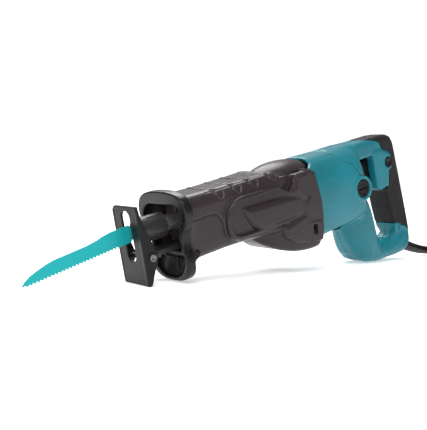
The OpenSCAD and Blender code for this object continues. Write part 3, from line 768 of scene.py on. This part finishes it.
def seam_side(x, z):
    """Negative on the motor housing's side of the seam."""
    ring = np.hypot(x - BRUSH_AT[0], z - BRUSH_AT[1]) - 17.2
    return np.minimum(x - along(z, SEAM), ring)


def rubber_side(x, z):
    """Negative where the soft grip covers the handle."""
    return outline(x, z, curved(GRIP_EDGE, 4) + GRIP_CORNERS)


def trigger_bay(x, y, z):
    return np.maximum(np.abs(y) - 8.6, rect(x, z, 370, 398, -37, 10.5, 2))


def motor_shape(x, y, z):
    shell = shell_shape(x, y, z)
    room = np.maximum(shell + 3.2, np.maximum(x - 341, rect(y, z, -60, 60, -67, 29, 4)))
    body = np.maximum(shell, seam_side(x, z) + 0.22)
    body = np.maximum(body, along(z, BOOT_END) - 1.2 - x)
    return np.maximum(body, -room)


def half_shape(sign):
    def shape(x, y, z):
        shell = shell_shape(x, y, z)
        body = np.maximum(shell, 0.22 - seam_side(x, z))
        body = np.maximum(body, 0.3 - rubber_side(x, z))
        body = np.maximum(body, -np.maximum(shell + 3.2, 352 - x))
        body = np.maximum(body, -trigger_bay(x, y, z))
        button = np.hypot(x - LOCK_AT[0], z - LOCK_AT[1]) - 7.4
        body = np.maximum(body, -np.maximum(button, y + 10)) if sign < 0 else body
        return np.maximum(body, 0.03 - sign * y)
    return shape


def rubber_shape(x, y, z):
    body = shell_shape(x, y, z) - 0.45
    body = np.maximum(body, rubber_side(x, z) + 0.1)
    block = bevelled(outline(x, z, BLOCK_OUTLINE), np.abs(y), 22.5, 2.2)
    body = np.maximum(body, 0.3 - block)
    # Smooth strip down the front, a step lower than the textured sides
    front = along(z, [(-101, 416), (-70, 411), (-39, 408)])
    strip = ease((front - x) / 2) * ease((-36 - z) / 3) * ease((z + 99) / 3)
    return body + 0.8 * strip


class BuildHousing(bpy.types.Operator):
    """Motor housing between the boot and the seam, with its brush rings"""
    bl_idname = "saw.build_housing"
    bl_label = "Motor housing"

    def execute(self, context):
        cell = context.scene.saw_sizes.large_cell * 1000
        housing = solid("motor_shell", (239, -47, -73), (347, 47, 34), cell, motor_shape)
        place(housing, "housing", finishes()["shell_teal"], ["motor_housing"])
        for name, sign in (("brush_cap_left", -1), ("brush_cap_right", 1)):
            cap = solid(
                name + "_turned", (316, min(36 * sign, 46 * sign), -34),
                (340, max(36 * sign, 46 * sign), -10), 0.5,
                lambda x, y, z: brush_cap_shape(x, y * sign, z),
            )
            place(cap, "housing", finishes()["black_plastic"], [name])
        return {"FINISHED"}


def brush_cap_shape(x, y, z):
    radius = np.hypot(x - BRUSH_AT[0], z - BRUSH_AT[1])
    cap = extrude(radius - 11.6, np.abs(y - 40.7), 4.4, 1.2)
    dish = extrude(radius - 8.2, -y, -44.0, 0.4)
    slot = rect(x - BRUSH_AT[0], z - BRUSH_AT[1], -7.4, 7.4, -1.2, 1.2, 0.4)
    return cut(0.3, cut(0.5, cap, dish), np.maximum(slot, 42.3 - y))


def screws_shape(x, y, z):
    """Cross-head screws, seated in their pockets on the right."""
    body = 1e9
    for u, w in SHOWN_SCREWS + SCREWS_UNDER_GRIP:
        radius = np.hypot(x - u, z - w)
        head = extrude(radius - 3.3, np.abs(y - 15.9), 1.7, 0.5)
        cross = np.minimum(rect(x, z, u - 2.2, u + 2.2, w - 0.45, w + 0.45, 0.1),
                           rect(x, z, u - 0.45, u + 0.45, w - 2.2, w + 2.2, 0.1))
        head = np.maximum(head, -np.maximum(cross, 16.4 - y))
        shank = extrude(radius - 1.9, np.abs(y - 1), 14, 0.3)
        body = np.minimum(body, np.minimum(head, shank))
    return body


class BuildHandle(bpy.types.Operator):
    """Two handle halves, the soft grip moulded over them and the handle's screws"""
    bl_idname = "saw.build_handle"
    bl_label = "Handle"

    def execute(self, context):
        cell = context.scene.saw_sizes.large_cell * 1000
        for name, sign in (("handle_left", -1), ("handle_right", 1)):
            low = (294, -47, -139) if sign < 0 else (294, 0, -139)
            high = (460, 0, 34) if sign < 0 else (460, 47, 34)
            half = solid(name, low, high, cell, half_shape(sign))
            place(half, "housing", finishes()["shell_teal"], [name + "_shell"])
        grip = solid("soft_grip", (367, -21, -115), (461, 21, 35), cell * 0.8, rubber_shape)
        place(grip, "housing", finishes()["grip_rubber"], ["grip_overmould"])
        fine = context.scene.saw_sizes.small_cell * 1000
        screws = solid("screws_seated", (325, -14, -124), (440, 18, 26), fine, screws_shape)
        place(screws, "housing", finishes()["fastener_steel"], ["handle_screws"])
        return {"FINISHED"}


# ---- trigger, buttons and shoe ----

def trigger_shape(x, y, z):
    profile = outline(x, z, curved([
        (382, 7.0), (376.5, 3.6), (373, -2), (372.3, -8), (374, -17), (377.2, -26), (380.4, -32),
    ], 2) + [(384, -33.4), (391, -31), (391, 6)])
    body = extrude(profile, np.abs(y), 8, 1.8)
    dip = line(x, z, [(371.5, -6), (376, -24)])
    return body + 0.5 * ease(1.3 - dip / 5) * ease((5.5 - np.abs(y)) / 2)


def lock_button_shape(x, y, z):
    radius = np.hypot(x - LOCK_AT[0], z - LOCK_AT[1])
    cap = extrude(radius - 6.9, np.abs(y + 19.4), 3.5, 1.3)
    return cut(0.6, cap, egg(x, y, z, (LOCK_AT[0], -27.6, LOCK_AT[1]), (9, 6, 9)))


def shoe_bench(x):
    """Height of the bench in the saw frame."""
    return -(STAND_HEIGHT + x * math.sin(LEAN)) / math.cos(LEAN)


def shoe_shape(x, y, z):
    side = np.abs(y)
    plate = extrude(rect(y, z, -24.2, 24.2, -58.5, 30.9, 5.5), np.abs(x - 1.6), 1.5, 0.9)
    lip = np.hypot(x - 3.4, z - 28.2) - 2.4
    plate = join(1.4, plate, np.maximum(lip, side - 20))
    ear = outline(x, z, [
        (0.2, 26), (2.6, 27), (6, 12), (9.4, 0), (16, -17), (17.4, -23), (17.2, -33), (13, -40),
        (9.5, -47), (6.7, -54), (3, -60), (0.2, -60)])
    ear = extrude(ear, np.abs(side - 22.7), 1.6, 0.8)
    body = join(1.6, plate, ear)
    bead = np.hypot(x - SHOE_PIVOT[0], z - SHOE_PIVOT[1])
    body = join(1.0, body, extrude(bead - 6.4, np.abs(side - 22.4), 1.9, 0.7))
    slot = rect(y, z, -8, 8, -31, 25.5, 7.6)
    body = cut(1.0, body, slot)
    body = np.maximum(body, 3.1 - bead)
    return meet(0.8, body, shoe_bench(x) + 0.05 - z)


def shoe_pin_shape(x, y, z):
    side = np.abs(y)
    radius = np.hypot(x - SHOE_PIVOT[0], z - SHOE_PIVOT[1])
    head = extrude(radius - 4.1, np.abs(side - 25.5), 1.1, 0.6)
    head = cut(0.4, head, egg(x, side, z, (SHOE_PIVOT[0], 28.2, SHOE_PIVOT[1]), (3, 2.4, 3)))
    return np.minimum(np.maximum(radius - 3, side - 25), head)


def shoe_lock_shape(x, y, z):
    radius = np.hypot(x - SHOE_LOCK_AT[0], z - SHOE_LOCK_AT[1])
    body = extrude(radius - 5, np.abs(y), 33.2, 1.1)
    return body + groove(np.abs(np.abs(y) - 31), 1.0, 0.4)


class BuildControls(bpy.types.Operator):
    """Trigger, lock-on button, shoe lock, and the shoe with its pin"""
    bl_idname = "saw.build_controls"
    bl_label = "Trigger, buttons and shoe"

    def execute(self, context):
        cell = context.scene.saw_sizes.small_cell * 1000
        black = finishes()["black_plastic"]
        pieces = [
            ("trigger_key", (371, -8, -34), (391.5, 8, 8), cell, trigger_shape,
             "trigger", "black_plastic", black, "trigger"),
            ("lock_cap", (403, -23, -12), (417, -15.5, 3), cell * 0.8, lock_button_shape,
             "lock_button", "black_plastic", black, "lock_button"),
            ("shoe_plate", (0, -24.4, -58), (17.6, 24.4, 31), cell, shoe_shape,
             "shoe", "dark_steel", finishes()["shoe_paint"], "shoe"),
            ("shoe_pivot_pin", (6, -27, -32), (15, 27, -23), cell * 0.8, shoe_pin_shape,
             "shoe_holder", "bright_steel", finishes()["fastener_steel"], "shoe_pin"),
            ("shoe_lock_key", (57, -33.3, -42), (67, 33.3, -32), cell, shoe_lock_shape,
             "shoe_lock", "black_plastic", black, "shoe_lock_button"),
        ]
        for name, low, high, size, shape, body, slot, finish, node in pieces:
            place(solid(name, low, high, size, shape), body, finish, [node])
        return {"FINISHED"}


# ---- cord ----

def tube(name, centres, radii, sides, matrix=MM):
    """A closed tube that is nowhere upright, with its own radius at each centre."""
    points, faces = [], []
    for i, centre in enumerate(centres):
        here = Vector(centre)
        ahead = Vector(centres[min(i + 1, len(centres) - 1)])
        way = (ahead - Vector(centres[max(i - 1, 0)])).normalized()
        across = way.cross(Vector((0, 0, 1))).normalized()
        up = across.cross(way)
        for k in range(sides):
            turn = 2 * math.pi * k / sides
            out = across * math.cos(turn) + up * math.sin(turn)
            points.append(tuple(here + out * radii[i]))
        if i:
            a = (i - 1) * sides
            for k in range(sides):
                n = (k + 1) % sides
                faces.append((a + k, a + n, a + sides + n, a + sides + k))
    first = list(range(sides))
    mesh = bpy.data.meshes.new(name)
    scaled = [tuple(matrix @ Vector(p)) for p in points]
    last = [len(points) - sides + k for k in range(sides)]
    mesh.from_pydata(scaled, [], [first, *faces, last[::-1]])
    mesh.update()
    return new_object(name, mesh)


def coil_points(per_turn=30):
    """Clockwise turns, each layer's radius and height changing late in the turn."""
    points = []
    following = COIL_TURNS[1:] + [COIL_TURNS[-1]]
    for (radius, height), (next_radius, next_height) in zip(COIL_TURNS, following):
        for i in range(per_turn):
            t = i / per_turn
            r = radius + (next_radius - radius) * ease((t - 0.917) / 0.083)
            h = height + (next_height - height) * ease((t - 0.833) / 0.083)
            angle = math.pi / 2 - 2 * math.pi * t
            points.append((
                COIL_AT[0] + float(r) * math.cos(angle), COIL_AT[1] + float(r) * math.sin(angle),
                float(h),
            ))
    return points


class LayCord(bpy.types.Operator):
    """Strain relief, mains lead in a tied coil, and plug"""
    bl_idname = "saw.lay_cord"
    bl_label = "Cord"

    def execute(self, context):
        sizes = context.scene.saw_sizes
        rubber = finishes()["cord_rubber"]
        black = finishes()["black_plastic"]
        route = curved(LEAD_ROUTE, 4)[:-1] + coil_points() + curved(TAIL_ROUTE, 4)
        data = bpy.data.curves.new("mains_lead", "CURVE")
        data.dimensions = "3D"
        data.bevel_depth = sizes.cord_diameter / 2
        data.bevel_resolution = 4
        data.use_fill_caps = True
        spline = data.splines.new("POLY")
        spline.points.add(len(route) - 1)
        for point, at in zip(spline.points, route):
            point.co = (*(MM @ Vector(at)), 1)
        spline.use_smooth = True
        lead = new_object("mains_lead", data)
        place(lead, "housing", rubber,
              ["power_cord_lead", "cord_coil", "power_cord_tail"])
        relief = self.strain_relief()
        place(relief, "housing", rubber, ["cord_guard"])
        plug = solid("mains_plug", (443.5, -96.5, -0.2), (468.5, -57.5, 18.4), 0.6, plug_shape, MM)
        place(plug, "housing", rubber, ["plug_body"])
        tie = solid("coil_strap", (427, -56, -0.5), (447, -46, 34), 0.45, strap_shape, MM)
        place(tie, "housing", black, ["coil_tie"])
        return {"FINISHED"}

    def strain_relief(self):
        centres = curved(GUARD_ROUTE, 1.0)
        count = len(centres)
        radii = []
        for i in range(count):
            t = i / (count - 1)
            ring = 0.5 - 0.5 * math.cos(2 * math.pi * (t * 11))
            waist = 1 - 0.13 * ring * float(ease((t - 0.08) / 0.05)) * float(ease((0.97 - t) / 0.05))
            radii.append((8.0 - 2.6 * t) * waist)
        relief = tube("strain_relief", centres, radii, 28)
        relief.data.polygons.foreach_set("use_smooth", [True] * len(relief.data.polygons))
        return relief


def plug_shape(x, y, z):
    """Flat moulded plug with finger grooves, its face toward -y."""
    body = extrude(rect(x, y, 444.2, 467.8, -95.8, -66, 4), np.abs(z - 9), 8.8, 3)
    neck = np.maximum(np.hypot(x - PLUG_AT[0], z - PLUG_AT[1]) - along(y, [(-70, 8), (-58, 5)]), y + 58.2)
    neck = np.maximum(neck, -73 - y)
    body = join(3, body, neck)
    for at in (-75, -79, -83):
        body = body + groove(np.abs(y - at), 1.8, 0.7) * ease((np.abs(x - PLUG_AT[0]) - 9.5) / 1.5)
    return np.maximum(body, -np.maximum(np.hypot(x - PLUG_AT[0], z - PLUG_AT[1]) - 4.1, -62 - y))


def strap_shape(x, y, z):
    """Hook-and-loop strap over the coil's turns."""
    radius = np.hypot(x - COIL_AT[0], y - COIL_AT[1])
    outer = rect(radius, z, 38.0, 55.9, 0.1, 32.9, 4)
    inner = rect(radius, z, 39.1, 54.9, 1.1, 31.9, 3.4)
    band = np.maximum(outer, -inner)
    band = np.maximum(band, np.abs(y - COIL_AT[1]) - 4)
    return np.maximum(band, 0.1 - z)


# ---- carried-over nodes ----

class FinishWorks(bpy.types.Operator):
    """Finishes nodes listed under the record's materials; others keep their imported colour"""
    bl_idname = "saw.finish_works"
    bl_label = "Works"

    def execute(self, context):
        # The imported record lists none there: its node and slot pairs are in subparts
        made = finishes()
        for entry in frame["record"]["materials"]:
            for name in entry.get("nodes", []):
                obj = frame["nodes"][name]
                obj.data.materials.clear()
                obj.data.materials.append(made[entry["slot"]])
        return {"FINISHED"}


# ---- stage ----

class SetStage(bpy.types.Operator):
    """Pale floor, soft lights and the camera"""
    bl_idname = "saw.set_stage"
    bl_label = "Stage"

    def execute(self, context):
        scene = context.scene
        self.camera(scene)
        self.floor()
        world = bpy.data.worlds.new("studio")
        scene.world = world
        world.use_nodes = True
        self.sky(world.node_tree)
        self.lamp("key", (-0.7, -0.9, 1.6), (0.0, 0.0, 0.1), 1.0, 21)
        self.lamp("top_back", (0.3, 1.0, 1.5), (0.0, 0.0, 0.1), 1.3, 30)
        self.lamp("front", (-1.6, 0.1, 0.8), (-0.1, 0.0, 0.08), 0.8, 6)
        scene.view_settings.view_transform = "Standard"
        scene.view_settings.look = "None"
        return {"FINISHED"}

    def sky(self, tree):
        """White where it is seen, dimmer as a light, so that the forms keep their shading."""
        back = tree.nodes["Background"]
        back.inputs["Color"].default_value = (1, 1, 1, 1)
        path = tree.nodes.new("ShaderNodeLightPath")
        level = tree.nodes.new("ShaderNodeMapRange")
        level.inputs["To Min"].default_value = 0.30
        level.inputs["To Max"].default_value = 1.1
        tree.links.new(path.outputs["Is Camera Ray"], level.inputs["Value"])
        tree.links.new(level.outputs[0], back.inputs["Strength"])

    def camera(self, scene):
        data = bpy.data.cameras.new("camera")
        data.lens = 66.98
        data.sensor_width = 36
        data.clip_start = 0.01
        camera = new_object("camera", data)
        spot = Vector((-0.63136, -0.73358, 0.13419))
        ahead = (Vector((-0.05681, 0, 0.0726)) - spot).normalized()
        right = ahead.cross(Vector((0, 0, 1))).normalized()
        up = right.cross(ahead)
        roll = math.radians(0.52)
        x = right * math.cos(roll) + up * math.sin(roll)
        y = up * math.cos(roll) - right * math.sin(roll)
        axes = Matrix((x, y, -ahead)).transposed().to_4x4()
        camera.matrix_world = Matrix.Translation(spot) @ axes
        scene.camera = camera

    def floor(self):
        f = Finish("pale_floor")
        mottle = f.noise(3, 3)
        base = f.blend(mottle, (0.93, 0.93, 0.93), (0.96, 0.96, 0.96))
        away = f.node("ShaderNodeVectorMath", {"operation": "LENGTH"}, {0: f.place}, out="Value")
        # Painted light: the floor glows, weakly near the saw and full white far off, so that it meets the white
        # sky
        glow = f.blend(away.over(0.3, 1.6), (0.48, 0.48, 0.48), (1.0, 1.0, 1.0))
        material = f.finish(base, 0.6 + 0.1 * mottle, f.noise(300, 2), 0.00003, {
            "Specular IOR Level": 0.2, "Emission Strength": 1.0, "Emission Color": glow,
        })
        radius, sides, below = 8, 48, -0.0002
        turns = [a * math.pi / (sides / 2) for a in range(sides)]
        ring = [(radius * math.cos(a), radius * math.sin(a), below) for a in turns]
        mesh = bpy.data.meshes.new("floor")
        mesh.from_pydata(ring, [], [list(range(sides))])
        floor = new_object("floor", mesh)
        mesh.materials.append(material)

    def lamp(self, name, spot, target, size, power):
        data = bpy.data.lights.new(name, "AREA")
        data.shape = "DISK"
        data.size = size
        data.energy = power
        lamp = new_object(name, data)
        lamp.location = spot
        lamp.rotation_euler = (Vector(target) - Vector(spot)).to_track_quat("-Z", "Y").to_euler()


class SAW_PT_build(bpy.types.Panel):
    bl_label = "Reciprocating saw"
    bl_space_type = "VIEW_3D"
    bl_region_type = "UI"
    bl_category = "Saw"

    def draw(self, context):
        for group in (context.scene.saw_sizes, context.scene.saw_finish):
            for name in group.__annotations__:
                self.layout.prop(group, name)
        for step in STEPS:
            self.layout.operator(step.bl_idname)


STEPS = (SetStage, LayCord, FinishWorks, BuildBoot, BuildHousing, BuildHandle, BuildControls)
CLASSES = (SawFinish, SawSizes, *STEPS, SAW_PT_build)


def register():
    for cls in CLASSES:
        bpy.utils.register_class(cls)
    bpy.types.Scene.saw_finish = PointerProperty(type=SawFinish)
    bpy.types.Scene.saw_sizes = PointerProperty(type=SawSizes)


def unregister():
    del bpy.types.Scene.saw_finish
    del bpy.types.Scene.saw_sizes
    for cls in reversed(CLASSES):
        bpy.utils.unregister_class(cls)


def main():
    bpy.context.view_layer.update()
    register()
    for step in STEPS:
        group, name = step.bl_idname.split(".")
        getattr(getattr(bpy.ops, group), name)()


if __name__ == "__main__":
    main()
